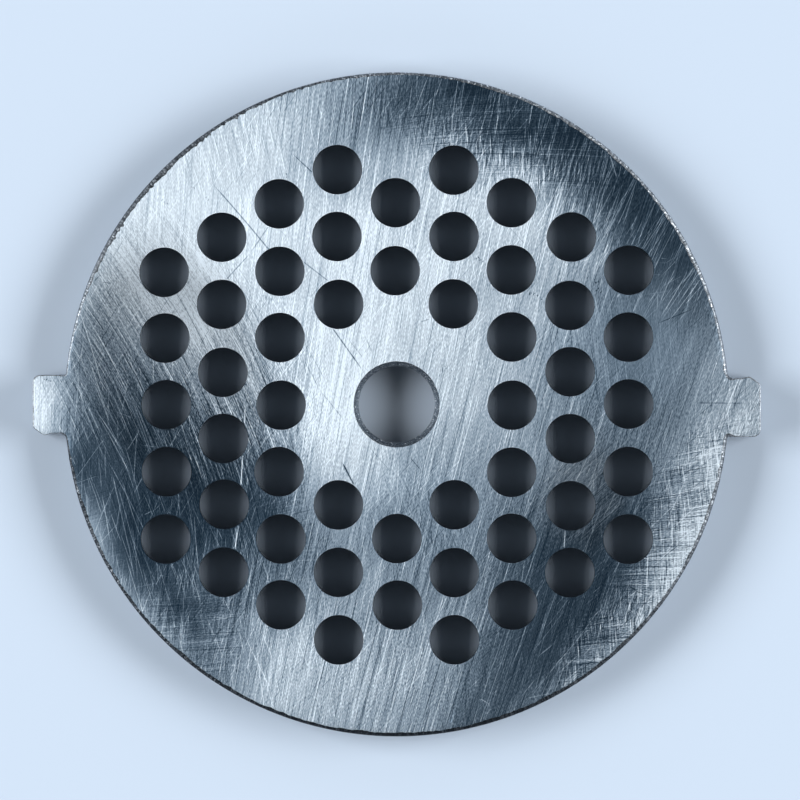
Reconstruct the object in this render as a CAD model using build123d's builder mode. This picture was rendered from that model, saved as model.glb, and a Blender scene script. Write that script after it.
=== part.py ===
from build123d import *
import os

# Meat grinder plate: one flat steel disc, blanked from sheet, with a plain
# centre bore for the screw's stub, 52 mincing holes and two small lugs that
# sit in slots of the grinder's body and stop the plate from turning.
#
# Millimetres. Origin on the bore's axis at the underside, +Z out of the ground
# cutting face, +X along the line of the lugs.

# ---- driving dimensions -------------------------------------------------
disc_diameter = 54.0          # the round of the plate, without the lugs
plate_thickness = 3.0

bore_radius = 3.1             # straight wall that runs on the screw's stub
bore_chamfer = 0.4            # countersunk edge at both ends of the bore

hole_diameter = 4.0           # mincing holes
hole_pitch = 5.45             # centre to centre, in a close-packed field
inner_ring = 2                # the ring of holes next to the bore is left out
outer_ring = 4
corner_rows = 4               # the field has no hole at (0, +-4 pitches)

lug_tip = 29.60               # from the bore's axis to a lug's outer edge
lug_half_width = 2.38
lug_nose_radius = 0.60        # corner on the square side
lug_relief = 1.90             # where the slanted side leaves the outer edge
lug_bump = (28.68, 2.56)      # small crest that the shear left on that side
lug_bump_end = 28.05
lug_crest_radius = 0.30
lug_relief_radius = 0.45
root_relief_radius = 0.60     # open fillet where the slanted side meets the rim
root_square_radius = 0.15     # tight corner where the square side meets it
lug_left_offset = 0.02        # the two lugs stand slightly off the bore's line
lug_right_offset = -0.26

rim_edge_top = 0.25           # rolled edge round the outline, cutting face
rim_edge_bottom = 0.12        # broken edge round the outline, underside

# ---- hole positions -----------------------------------------------------
# A hexagonal lattice with a column of holes on the Y axis: q counts columns
# along X, r counts half rows. A hole's ring is its distance in steps from the
# centre, and the field is rings 2 to 4 without its top and bottom corners.
column_step = hole_pitch * 3 ** 0.5 / 2
hole_centres = []
for q in range(-outer_ring, outer_ring + 1):
    for r in range(-outer_ring, outer_ring + 1):
        ring = max(abs(q), abs(r), abs(q + r))
        if ring < inner_ring or ring > outer_ring:
            continue
        if q == 0 and abs(r) == corner_rows:
            continue
        hole_centres.append((q * column_step, (r + q / 2) * hole_pitch))
assert len(hole_centres) == 52

disc_radius = disc_diameter / 2


def lug_points(offset):
    """Corners of one lug, pointing along +X, from the square side round."""
    return [
        (24.0, offset - lug_half_width),
        (lug_tip, offset - lug_half_width),
        (lug_tip, offset + lug_relief),
        (lug_bump[0], offset + lug_bump[1]),
        (lug_bump_end, offset + lug_half_width),
        (24.0, offset + lug_half_width),
    ]


lug_radii = [lug_nose_radius, lug_relief_radius, lug_crest_radius, 0.5]

with BuildPart() as plate:
    # outline: disc and two lugs, each the other turned half a turn
    with BuildSketch(Plane.XY) as outline:
        Circle(disc_radius)
        for turn, offset in ((0, lug_right_offset), (180, -lug_left_offset)):
            with BuildLine(Plane.XY.rotated((0, 0, turn))):
                nose = FilletPolyline(*lug_points(offset), radius=lug_radii)
                Line(nose @ 1, nose @ 0)
            make_face()
        roots = [
            v for v in outline.vertices()
            if abs((v.X ** 2 + v.Y ** 2) ** 0.5 - disc_radius) < 0.01
            and abs(v.X) > disc_radius - 1.0 and abs(v.Y) > 1.5
        ]
        square_side = [v for v in roots if v.X * v.Y < 0]
        slanted_side = [v for v in roots if v.X * v.Y > 0]
        fillet(square_side, radius=root_square_radius)
        fillet(slanted_side, radius=root_relief_radius)
    extrude(amount=plate_thickness)

    # edges of the outline
    top_edges = plate.faces().sort_by(Axis.Z)[-1].outer_wire().edges()
    chamfer(top_edges, length=rim_edge_top)
    bottom_edges = plate.faces().sort_by(Axis.Z)[0].outer_wire().edges()
    chamfer(bottom_edges, length=rim_edge_bottom)

    # centre bore, countersunk at both faces
    Hole(radius=bore_radius)
    bore_edges = plate.edges().filter_by(GeomType.CIRCLE).filter_by(
        lambda e: abs(e.radius - bore_radius) < 1e-6
    )
    chamfer(bore_edges, length=bore_chamfer)

    # mincing holes: straight, with sharp edges that do the cutting
    with Locations(*[Location((x, y, plate_thickness)) for x, y in hole_centres]):
        Hole(radius=hole_diameter / 2, depth=plate_thickness)

plate.part.label = "plate"

os.makedirs("parts", exist_ok=True)
export_step(plate.part, "parts/plate.step")

box = plate.part.bounding_box()
print("holes", len(hole_centres))
print("size", round(box.size.X, 3), round(box.size.Y, 3), round(box.size.Z, 3))
print("volume mm3", round(plate.part.volume, 2), "valid", plate.part.is_valid)
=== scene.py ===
import math

import bpy
import numpy as np
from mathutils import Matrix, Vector
from mathutils.geometry import delaunay_2d_cdt


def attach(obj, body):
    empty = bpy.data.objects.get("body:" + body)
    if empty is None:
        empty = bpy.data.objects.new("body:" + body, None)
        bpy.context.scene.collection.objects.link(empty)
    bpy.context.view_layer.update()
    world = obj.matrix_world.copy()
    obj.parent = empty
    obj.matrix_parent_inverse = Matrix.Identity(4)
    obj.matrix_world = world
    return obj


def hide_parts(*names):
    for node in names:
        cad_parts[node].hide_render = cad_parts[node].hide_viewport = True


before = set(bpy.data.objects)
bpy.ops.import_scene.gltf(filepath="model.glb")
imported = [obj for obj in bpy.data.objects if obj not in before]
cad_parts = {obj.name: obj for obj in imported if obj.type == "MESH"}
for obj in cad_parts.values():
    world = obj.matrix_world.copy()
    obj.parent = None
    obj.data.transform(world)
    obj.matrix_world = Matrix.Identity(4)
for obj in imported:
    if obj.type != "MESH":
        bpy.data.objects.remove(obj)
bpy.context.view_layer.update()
scene = bpy.context.scene

MM = 0.001
H = 3.0          # thickness, mm
R = 27.0         # disc radius
BORE_R = 3.1
BORE_C = 0.4
HOLE_R = 2.0
PITCH = 5.45


# --------------------------------------------------------------------------
# small helpers
# --------------------------------------------------------------------------
def ring_noise(count, cells, seed):
    """Smooth periodic noise of `count` samples with about `cells` bumps, -1..1."""
    rng = np.random.default_rng(seed)
    k = rng.uniform(-1, 1, cells)
    t = np.arange(count) / count * cells
    i = np.floor(t).astype(int)
    f = t - i
    f = f * f * (3 - 2 * f)
    return k[i % cells] * (1 - f) + k[(i + 1) % cells] * f


def step(v, a, b):
    t = np.clip((v - a) / (b - a), 0, 1)
    return t * t * (3 - 2 * t)


def blob(x, y, cx, cy, across, along, lean):
    """1 in the middle of a soft ellipse, 0 at its edge; its long axis leans `lean` degrees from +Y to +X."""
    a = math.radians(lean)
    dx, dy = x - cx, y - cy
    u = (dx * math.cos(a) - dy * math.sin(a)) / across
    v = (dx * math.sin(a) + dy * math.cos(a)) / along
    d = np.clip(1 - np.hypot(u, v), 0, 1)
    return d * d * (3 - 2 * d)


def value_noise(x, y, cell, seed):
    """Smooth 2-D noise, -1..1."""
    rng = np.random.default_rng(seed)
    n = 96
    g = rng.uniform(-1, 1, (n, n))
    u, v = x / cell + 40.3, y / cell + 40.7
    i, j = np.floor(u).astype(int), np.floor(v).astype(int)
    f, h = u - i, v - j
    f, h = f * f * (3 - 2 * f), h * h * (3 - 2 * h)
    i, j = i % n, j % n
    i1, j1 = (i + 1) % n, (j + 1) % n
    return (g[i, j] * (1 - f) + g[i1, j] * f) * (1 - h) + (g[i, j1] * (1 - f) + g[i1, j1] * f) * h


# --------------------------------------------------------------------------
# outline
# --------------------------------------------------------------------------
LUG_TIP, LUG_HALF = 29.60, 2.38
RELIEF, BUMP, BUMP_END = 1.90, (28.68, 2.56), 28.05
ROOT_RELIEF, ROOT_SQUARE = 0.60, 0.15
LUG_Y = {1: -0.26, -1: 0.02}       # middle of the right and the left lug


def arc(cx, cy, r, a0, a1, step_mm):
    n = max(3, int(abs(a1 - a0) * r / step_mm) + 1)
    a = np.linspace(a0, a1, n)
    return [(cx + r * math.cos(t), cy + r * math.sin(t)) for t in a]


def filleted(points, radii, step_mm):
    """Open polyline with its inner corners rounded."""
    out = [points[0]]
    for p, q, s, r in zip(points, points[1:], points[2:], radii):
        p, q, s = (np.array(v, float) for v in (p, q, s))
        a, b = (p - q) / np.linalg.norm(p - q), (s - q) / np.linalg.norm(s - q)
        half = math.acos(np.clip(a @ b, -1, 1)) / 2
        t = r / math.tan(half)
        mid = (a + b) / np.linalg.norm(a + b)
        c = q + mid * (r / math.sin(half))
        e0, e1 = q + a * t, q + b * t
        a0 = math.atan2(*(e0 - c)[::-1])
        a1 = math.atan2(*(e1 - c)[::-1])
        d = (a1 - a0 + math.pi) % (2 * math.pi) - math.pi
        out += arc(c[0], c[1], r, a0, a0 + d, step_mm)
    out.append(points[-1])
    return out


def lug(offset, step_mm):
    """One lug's outline along +X from rim to rim, anticlockwise, with both roots."""
    lo, hi = offset - LUG_HALF, offset + LUG_HALF
    r0, r1 = ROOT_SQUARE, ROOT_RELIEF
    c0 = (math.sqrt((R + r0) ** 2 - (abs(lo) + r0) ** 2), lo - r0)
    c1 = (math.sqrt((R + r1) ** 2 - (abs(hi) + r1) ** 2), hi + r1)
    a0 = math.atan2(-c0[1], -c0[0])
    pts = arc(c0[0], c0[1], r0, a0, math.pi / 2, 0.03)
    body = filleted(
        [(c0[0], lo), (LUG_TIP, lo), (LUG_TIP, offset + RELIEF), (BUMP[0], offset + BUMP[1]), (BUMP_END, hi), (c1[0], hi)],
        [0.60, 0.45, 0.30, 0.50], step_mm)
    a1 = math.atan2(-c1[1], -c1[0])
    root = arc(c1[0], c1[1], r1, 3 * math.pi / 2, a1 + 2 * math.pi if a1 < 0 else a1, step_mm)
    return pts[:-1] + body + root[1:], math.atan2(c0[1], c0[0]), math.atan2(c1[1], c1[0])


def outline(step_mm):
    right, s_r, e_r = lug(LUG_Y[1], 0.05)
    left, s_l, e_l = lug(-LUG_Y[-1], 0.05)
    left = [(-x, -y) for x, y in left]
    top = arc(0, 0, R, e_r, math.pi + s_l, step_mm)
    low = arc(0, 0, R, math.pi + e_l, 2 * math.pi + s_r, step_mm)
    pts = np.array(right + top[1:-1] + left + low[1:-1])
    # even spacing, so that the edge detail has one scale all round
    closed = np.vstack([pts, pts[:1]])
    seg = np.linalg.norm(np.diff(closed, axis=0), axis=1)
    keep = np.concatenate([[True], seg[:-1] > 1e-6])
    pts = pts[keep]
    closed = np.vstack([pts, pts[:1]])
    s = np.concatenate([[0], np.cumsum(np.linalg.norm(np.diff(closed, axis=0), axis=1))])
    n = int(s[-1] / step_mm) // 2 * 2
    t = np.arange(n) / n * s[-1]
    return np.column_stack([np.interp(t, s, closed[:, 0]), np.interp(t, s, closed[:, 1])]), t


def smooth_ring(v, times):
    for _ in range(times):
        v = (np.roll(v, 1, 0) + 2 * v + np.roll(v, -1, 0)) / 4
    return v


def normals_2d(loop):
    d = np.roll(loop, -1, 0) - np.roll(loop, 1, 0)
    n = smooth_ring(np.column_stack([d[:, 1], -d[:, 0]]), 2)
    return n / np.linalg.norm(n, axis=1)[:, None]


def inside_polygon(points, poly):
    """Even-odd test of many points against one polygon."""
    out = np.zeros(len(points), bool)
    x0, y0 = poly[:, 0], poly[:, 1]
    x1, y1 = np.roll(x0, -1), np.roll(y0, -1)
    for k, (px, py) in enumerate(points):
        cross = ((y0 > py) != (y1 > py)) & (px < (x1 - x0) * (py - y0) / (y1 - y0 + 1e-30) + x0)
        out[k] = cross.sum() % 2 == 1
    return out


hole_centres = []
for q in range(-4, 5):
    for r in range(-4, 5):
        ring = max(abs(q), abs(r), abs(q + r))
        if 2 <= ring <= 4 and not (q == 0 and abs(r) == 4):
            hole_centres.append((q * PITCH * math.sqrt(3) / 2, (r + q / 2) * PITCH))
# how far each hole was punched off its place in the pattern, in hundredths of a millimetre,
# column by column from the left, each from the bottom up
PUNCHED_OFF = [
    (10, -5), (17, -2), (14, -3), (3, -6), (-3, -16),
    (9, -2), (14, 5), (6, -4), (3, -12), (-7, -4), (-6, -4),
    (4, 5), (3, -4), (-12, -2), (4, -7), (-5, -2), (-6, -8), (-12, -4),
    (1, -7), (-2, -3), (-2, 0), (0, -4), (-14, 3), (-10, 1),
    (6, 3), (2, -1), (-12, -3), (-10, 5),
    (-3, -6), (-4, -5), (-4, 2), (-12, 0), (-6, 3), (-8, -3),
    (-1, 4), (-10, 1), (-9, -7), (-5, -6), (-9, 3), (-12, 3), (-11, 5),
    (-8, -5), (-1, -7), (-5, -6), (-7, -7), (-9, -13), (4, -2),
    (-6, -5), (-6, -1), (-2, 3), (-4, 2), (-1, 1),
]
hole_centres = [(cx + dx / 100, cy + dy / 100) for (cx, cy), (dx, dy) in zip(hole_centres, PUNCHED_OFF)]
HOLES = np.array(hole_centres)


def face_drop(x, y):
    """How far the ground face falls away, mm: it is a touch lower round the rim and slightly uneven."""
    r = np.hypot(x, y)
    t = np.clip((r - 24.2) / 3.2, 0, 1.4)
    d = 0.050 * t * t
    d = d + 0.010 * np.sin(x * 0.23 + 0.6) * np.cos(y * 0.19 - 0.4)
    d = d + 0.006 * np.sin(x * 0.11 - y * 0.31 + 1.9)
    return d + 0.016


# The sheared edge, by angle from +X in degrees: width of its rolled-over band in mm, how light it reads
# (painted light and shade for the way the edge faces the softboxes), and how much bright burr it carries
# (real raised burr, with painted glints on it).
EDGE = [
    (-180, 0.13, 0.45, 0.3), (-172, 0.20, 0.18, 0.5), (-150, 0.29, 0.13, 0.6), (-128, 0.29, 0.10, 0.5),
    (-105, 0.30, 0.05, 0.1), (-75, 0.31, 0.04, 0.1), (-55, 0.30, 0.13, 0.2), (-35, 0.29, 0.30, 0.4),
    (-12, 0.29, 0.38, 0.5), (12, 0.28, 0.46, 0.6), (35, 0.28, 0.50, 0.9), (62, 0.27, 0.48, 1.0),
    (78, 0.25, 0.42, 1.0), (90, 0.21, 0.40, 0.9), (106, 0.19, 0.28, 0.6), (120, 0.26, 0.24, 0.5), (132, 0.36, 0.26, 0.4),
    (143, 0.42, 0.28, 0.4), (151, 0.34, 0.30, 0.4), (159, 0.23, 0.38, 0.4), (172, 0.14, 0.60, 0.3), (180, 0.13, 0.45, 0.3),
]


def edge_data(xy):
    a = np.degrees(np.arctan2(xy[:, 1], xy[:, 0]))
    k = np.array(EDGE, float)
    width, light, burr = (np.interp(a, k[:, 0], k[:, i]) for i in (1, 2, 3))
    out = np.clip((np.hypot(xy[:, 0], xy[:, 1]) - 27.15) / 0.5, 0, 1)   # the lugs are ground to their edges
    return width * (1 - out) + 0.075 * out, light * (1 - out) + 0.55 * out, burr * (1 - out) + 0.2 * out


# --------------------------------------------------------------------------
# how the ground face reads: painted sheen and shade
# --------------------------------------------------------------------------
# Painted sheen and shade of the ground face: soft blobs (x, y, across, along, lean, gain) of lighter and darker steel
# standing in for the softboxes' reflection in the grinding marks.
PAINTED_SHEEN = [
    (-17.0, 16.0, 18.0, 20.0, 30.0, 66.0),
    (-3.0, 9.0, 15.0, 16.0, 0.0, 66.0),
    (-4.0, -2.0, 7.5, 11.0, 5.0, 62.0),
    (9.0, 12.0, 11.0, 11.0, 0.0, 52.0),
    (5.5, 1.5, 7.0, 9.0, 0.0, 30.0),
    (-7.0, -22.0, 9.0, 10.0, 60.0, 48.0),
    (27.0, -6.0, 7.0, 12.0, 15.0, 56.0),
    (22.5, -15.0, 5.0, 9.0, 38.0, 70.0),
    (-26.0, -10.5, 3.0, 9.0, -22.0, 22.0),
    (-31.0, -0.4, 5.3, 6.0, 0.0, 130.0),
    (-18.5, -7.0, 13.5, 13.5, 20.0, -108.0),
    (-22.5, 1.5, 6.0, 10.0, -25.0, -48.0),
    (-8.5, -11.8, 6.0, 9.0, 0.0, -46.0),
    (15.0, -14.0, 10.5, 14.5, 30.0, -108.0),
    (8.6, -22.5, 6.5, 9.0, 60.0, -68.0),
    (18.5, 1.5, 10.0, 12.0, 0.0, -47.0),
    (18.5, 8.5, 5.0, 6.0, 0.0, -24.0),
    (-16.0, 6.5, 4.5, 8.5, 10.0, 26.0),
    (-12.5, -9.8, 5.0, 4.5, 0.0, -30.0),
    (-21.4, -11.4, 4.8, 8.0, -25.0, -28.0),
    (-25.5, -5.0, 3.0, 5.0, 0.0, -18.0),
    (-14.0, -21.5, 5.0, 5.0, 0.0, -14.0),
    (2.0, -7.0, 16.0, 9.0, 0.0, -5.0),
    (24.0, -1.0, 6.0, 7.0, 0.0, -8.0),
    (-8.5, 10.8, 4.5, 4.5, 0.0, -20.0),
    (-6.5, -25.0, 5.0, 4.0, 0.0, -12.0),
    (-26.0, -6.4, 3.4, 4.5, 0.0, -24.0),
    (-22.0, -13.6, 4.0, 5.0, 0.0, -30.0),
    (-17.5, -9.5, 5.5, 7.0, 90.0, -14.0),
    (-5.6, 18.8, 4.6, 5.0, 0.0, -20.0),
    (6.5, 14.0, 4.0, 4.0, 0.0, -16.0),
    (10.4, 2.4, 4.5, 4.5, 0.0, 14.0),
    (15.2, -7.6, 5.5, 5.8, 0.0, 42.0),
    (-26.0, -3.0, 3.4, 4.5, 0.0, -22.0),
    (-21.5, 11.5, 5.5, 6.0, 0.0, 26.0),
    (-18.0, -17.8, 4.5, 4.5, 0.0, -28.0),
    (-1.8, -9.8, 4.5, 4.5, 0.0, -20.0),
    (6.4, 18.6, 3.6, 3.6, 0.0, -16.0),
    (6.4, 26.4, 3.2, 3.4, 0.0, -30.0),
    (-12.0, -5.8, 4.5, 6.5, 90.0, -22.0),
    (18.6, 10.6, 4.0, 4.0, 0.0, -13.0),
    (18.6, 18.4, 4.0, 4.0, 0.0, -14.0),
    (6.4, 8.4, 4.0, 5.0, 0.0, -13.0),
    (-5.8, -22.0, 4.2, 4.2, 0.0, -18.0),
    (-14.0, -22.0, 4.2, 4.2, 0.0, -18.0),
    (-3.6, -17.8, 4.2, 7.5, 90.0, -18.0),
    (-14.0, 2.4, 4.0, 4.0, 0.0, 14.0),
    (-5.0, 20.5, 5.0, 5.0, 0.0, -12.0),
    (-1.8, 14.8, 4.5, 4.2, 0.0, 20.0),
    (-18.4, 10.5, 4.5, 4.5, 0.0, 14.0),
    (-17.5, 8.0, 6.0, 6.0, 0.0, 30.0),
    (10.4, 18.6, 4.0, 4.0, 0.0, 16.0),
    (8.6, 22.7, 4.4, 4.0, 0.0, -22.0),
    (12.0, 10.5, 4.0, 9.0, 90.0, -14.0),
    (18.4, -8.0, 5.5, 5.5, 0.0, -17.0),
    (-14.0, -8.5, 5.0, 8.0, 90.0, -16.0),
    (2.3, -13.9, 4.0, 4.0, 0.0, -12.0),
    (6.0, -26.0, 4.0, 3.5, 0.0, -28.0),
    (22.8, 6.6, 4.5, 4.5, 0.0, -14.0),
    (10.4, -22.0, 4.0, 4.0, 0.0, 14.0),
    (6.5, 17.0, 7.5, 4.5, 0.0, 24.0),
    (6.5, 26.3, 2.6, 5.0, 75.0, -34.0),
    (14.5, 22.8, 3.6, 5.0, 120.0, -28.0),
    (17.2, -20.5, 4.3, 5.6, 45.0, 26.0),
    (22.8, -12.6, 3.4, 5.4, 20.0, 27.0),
    (4.0, -22.5, 5.0, 7.0, 90.0, 12.0),
    (-13.5, 1.5, 4.0, 4.5, 0.0, 26.0),
    (9.5, -7.0, 5.0, 5.0, 0.0, -14.0),
    (8.0, 10.5, 5.0, 4.0, 0.0, -13.0),
    (-1.0, 24.0, 5.0, 8.0, 90.0, -46.0),
    (2.4, 18.4, 3.4, 4.0, 0.0, 17.0),
    (-9.8, 22.4, 3.8, 5.5, 60.0, 16.0),
    (-16.0, -17.0, 9.0, 9.0, 0.0, -48.0),
    (4.6, -11.6, 11.0, 8.5, 0.0, -29.0),
]
def painted_sheen_luminance(x, y):
    """How bright each part of the ground face reads, on a scale of 0 to 255: painted sheen and shade standing in for
    the softboxes' reflection in the grinding marks.
    """
    v = np.full(np.shape(x), 149.0)
    for cx, cy, ra, rl, lean, gain in PAINTED_SHEEN:
        v = v + gain * blob(x, y, cx, cy, ra, rl, lean)
    # painted dark crescent of shade along the upper right rim
    r = np.hypot(x, y)
    a = np.degrees(np.arctan2(y, x))
    inner = 22.2 + 0.0016 * (a - 56) ** 2
    here = step(a, 4, 34) * (0.8 + 0.2 * step(a, 72, 56)) * step(a, 100, 76)
    v = v - 108 * here * step(r, inner - 3.4, inner + 2.6)
    # painted lighter band of sheen close to the lower left rim
    v = v + 44 * step(a, -170, -156) * step(a, -122, -142) * step(r, 24.0, 26.6)
    # the brightest steel keeps its grinding marks
    return np.minimum(v, 222 + 6 * np.tanh((v - 222) / 6))


# Painted light and dark patches of the underside, like the face's painted sheen and shade.
UNDER_PAINTED_SHEEN = [
    (6.0, 8.0, 18.0, 22.0, 30.0, 60.0),
    (-14.0, -14.0, 10.0, 16.0, -40.0, -48.0),
    (18.0, -12.0, 8.0, 12.0, 30.0, 36.0),
    (-16.0, 14.0, 9.0, 12.0, 50.0, 44.0),
    (4.0, -20.0, 14.0, 6.0, 90.0, -40.0),
]
UNDER_MAIN = (-14.0, 0.30, 0.12)
UNDER_SECOND = [
    ((16.0, 6.0, 12.0, 16.0, 10.0), (22.0, 0.3, 0.2), 0.85),
    ((-12.0, -16.0, 9.0, 9.0, 0.0), (84.0, 0.2, 0.2), 0.50),
]


def grain_strength(x, y, lum):
    """How strongly the finest grinding marks show."""
    v = 0.98 + 0 * x
    for cx, cy, ra, rl, lean, gain in [
        (-14.0, -1.5, 11.0, 11.0, 0.0, 1.10), (-13.0, -15.0, 9.0, 8.0, 0.0, 0.25), (-22.0, 6.0, 7.0, 10.0, 0.0, 0.45), (-23.6, -10.5, 3.6, 11.0, -25.0, -0.60), (25.5, -9.5, 6.0, 13.0, 20.0, 0.85),
        (19.0, -18.0, 7.0, 11.0, 40.0, 0.60), (5.0, 22.0, 5.5, 15.0, 100.0, 0.30), (0.0, 21.0, 8.0, 4.0, 0.0, -0.25), (-14.0, 16.0, 13.0, 12.0, 0.0, -0.40),
        (-2.0, -22.0, 14.0, 9.0, 0.0, 0.55), (-4.0, 2.0, 9.0, 9.0, 0.0, -0.12), (20.5, 5.5, 8.0, 9.0, 0.0, -0.66), (21.5, 14.0, 6.0, 7.0, 0.0, -0.30), (12.0, -14.0, 8.0, 9.0, 0.0, 0.22),
        (-3.0, 10.0, 9.0, 9.0, 0.0, -0.10),
    ]:
        v = v + gain * blob(x, y, cx, cy, ra, rl, lean)
    return v * (0.68 + 0.32 * step(lum, 40, 120))


def weave_strength(x, y):
    """Where a second, crossing set of lines shows as strongly as the first."""
    v = 0 * x
    for cx, cy, ra, rl, lean, gain in [
        (24.6, -10.5, 7.0, 15.0, 22.0, 1.5), (17.6, -20.5, 5.5, 9.0, 48.0, 1.4), (9.0, 20.0, 5.5, 13.0, 104.0, 1.4),
        (-20.5, -16.5, 5.0, 9.0, -50.0, 0.8), (-24.6, -10.0, 3.6, 9.0, -24.0, 0.8), (-9.0, -9.0, 5.0, 7.0, 0.0, 0.4),
    ]:
        v = v + gain * blob(x, y, cx, cy, ra, rl, lean)
    return np.clip(v, 0, 1)


def finger_strength(x, y):
    """How far the painted sheen and shade is drawn out in fingers along the grinding marks."""
    v = 0.30 + 0 * x
    for cx, cy, ra, rl, lean, gain in [
        (10.0, 20.0, 7.0, 15.0, 112.0, 1.0), (19.0, 13.0, 7.0, 11.0, 140.0, 0.9), (-11.0, -3.0, 7.0, 14.0, 0.0, 0.5),
        (-14.0, -14.0, 10.0, 8.0, 0.0, 0.2), (-20.0, 4.0, 7.0, 9.0, 0.0, 0.2), (24.5, -10.0, 6.0, 14.0, 20.0, -0.30), (-24.6, -11.5, 4.5, 11.0, -30.0, -0.60), (8.0, -14.0, 10.0, 10.0, 0.0, 0.5),
    ]:
        v = v + gain * blob(x, y, cx, cy, ra, rl, lean)
    return np.clip(v, 0, None)


# Painted sheen and shade of the underside, on a scale of 0 to 255.
def underside_painted_sheen_luminance(x, y):
    v = np.full(np.shape(x), 128.0)
    for cx, cy, ra, rl, lean, gain in UNDER_PAINTED_SHEEN:
        v = v + gain * blob(x, y, cx, cy, ra, rl, lean)
    return v


def grind(x, y, lean, per_x, per_y, cx=0.0, cy=0.0):
    """Coordinates across and along gently fanning grinding lines.

    The lines lean `lean` degrees from +Y towards +X at (cx, cy), and turn by per_x and
    per_y degrees for each mm. The map keeps its proportions everywhere.
    """
    z = (x - cx) + 1j * (y - cy)
    k = math.radians(per_x) - 1j * math.radians(per_y)
    w = np.exp(1j * math.radians(lean)) * (np.exp(1j * k * z) - 1) / (1j * k)
    angle = math.radians(lean) + np.real(k * z)
    return w.real, w.imag, angle


MAIN = (12.0, 0.34, -0.14)
# Where a second set of lines lies over or in place of the main one:
# zone (x, y, across, along, lean), lines (lean, per_x, per_y), share
SECOND = [
    ((-18.0, 2.0, 13.0, 19.0, -20.0), (-26.0, 0.35, -0.80), 1.00),
    ((24.0, -11.5, 7.5, 14.0, 25.0), (86.0, 0.1, -1.0), 1.00),
    ((18.0, -20.4, 5.5, 8.0, 48.0), (84.0, 0.1, -0.6), 0.85),
    ((9.0, 21.5, 5.5, 14.0, 104.0), (88.0, 0.5, -0.6), 0.55),
    ((15.5, -7.5, 5.5, 6.5, 0.0), (48.0, 0.3, 0.2), 0.55),
    ((-17.0, -18.5, 6.5, 7.0, 40.0), (86.0, -0.2, 0.2), 0.55),
    ((18.0, 4.5, 8.0, 6.5, 0.0), (-8.0, 0.3, 0.2), 0.60),
    ((-14.0, 20.5, 9.0, 5.5, 0.0), (-14.0, 0.3, 0.2), 0.50),
    ((2.0, -9.0, 8.0, 6.0, 0.0), (-22.0, 0.3, 0.2), 0.30),
]


def grind_fields(x, y, main, second):
    ua, va, aa = grind(x, y, *main)
    ub, vb, ab = np.zeros_like(x), np.zeros_like(x), np.zeros_like(x)
    weights = np.array([min_share * blob(x, y, *zone) for zone, _, min_share in second])
    order = np.argsort(weights, axis=0)
    best = order[-1]
    w = np.take_along_axis(weights, order[-1:], 0)[0] - np.take_along_axis(weights, order[-2:-1], 0)[0]
    for i, (zone, lines, share) in enumerate(second):
        here = best == i
        u, v, a = grind(x[here], y[here], *lines, zone[0], zone[1])
        ub[here], vb[here], ab[here] = u + 31.7 * i, v + 17.3 * i, a
    w = np.clip(w * 1.8, 0, 1)
    cap = np.array([s for _, _, s in second])[best]
    return ua, va, aa, ub, vb, ab, np.minimum(w, cap)


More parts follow.
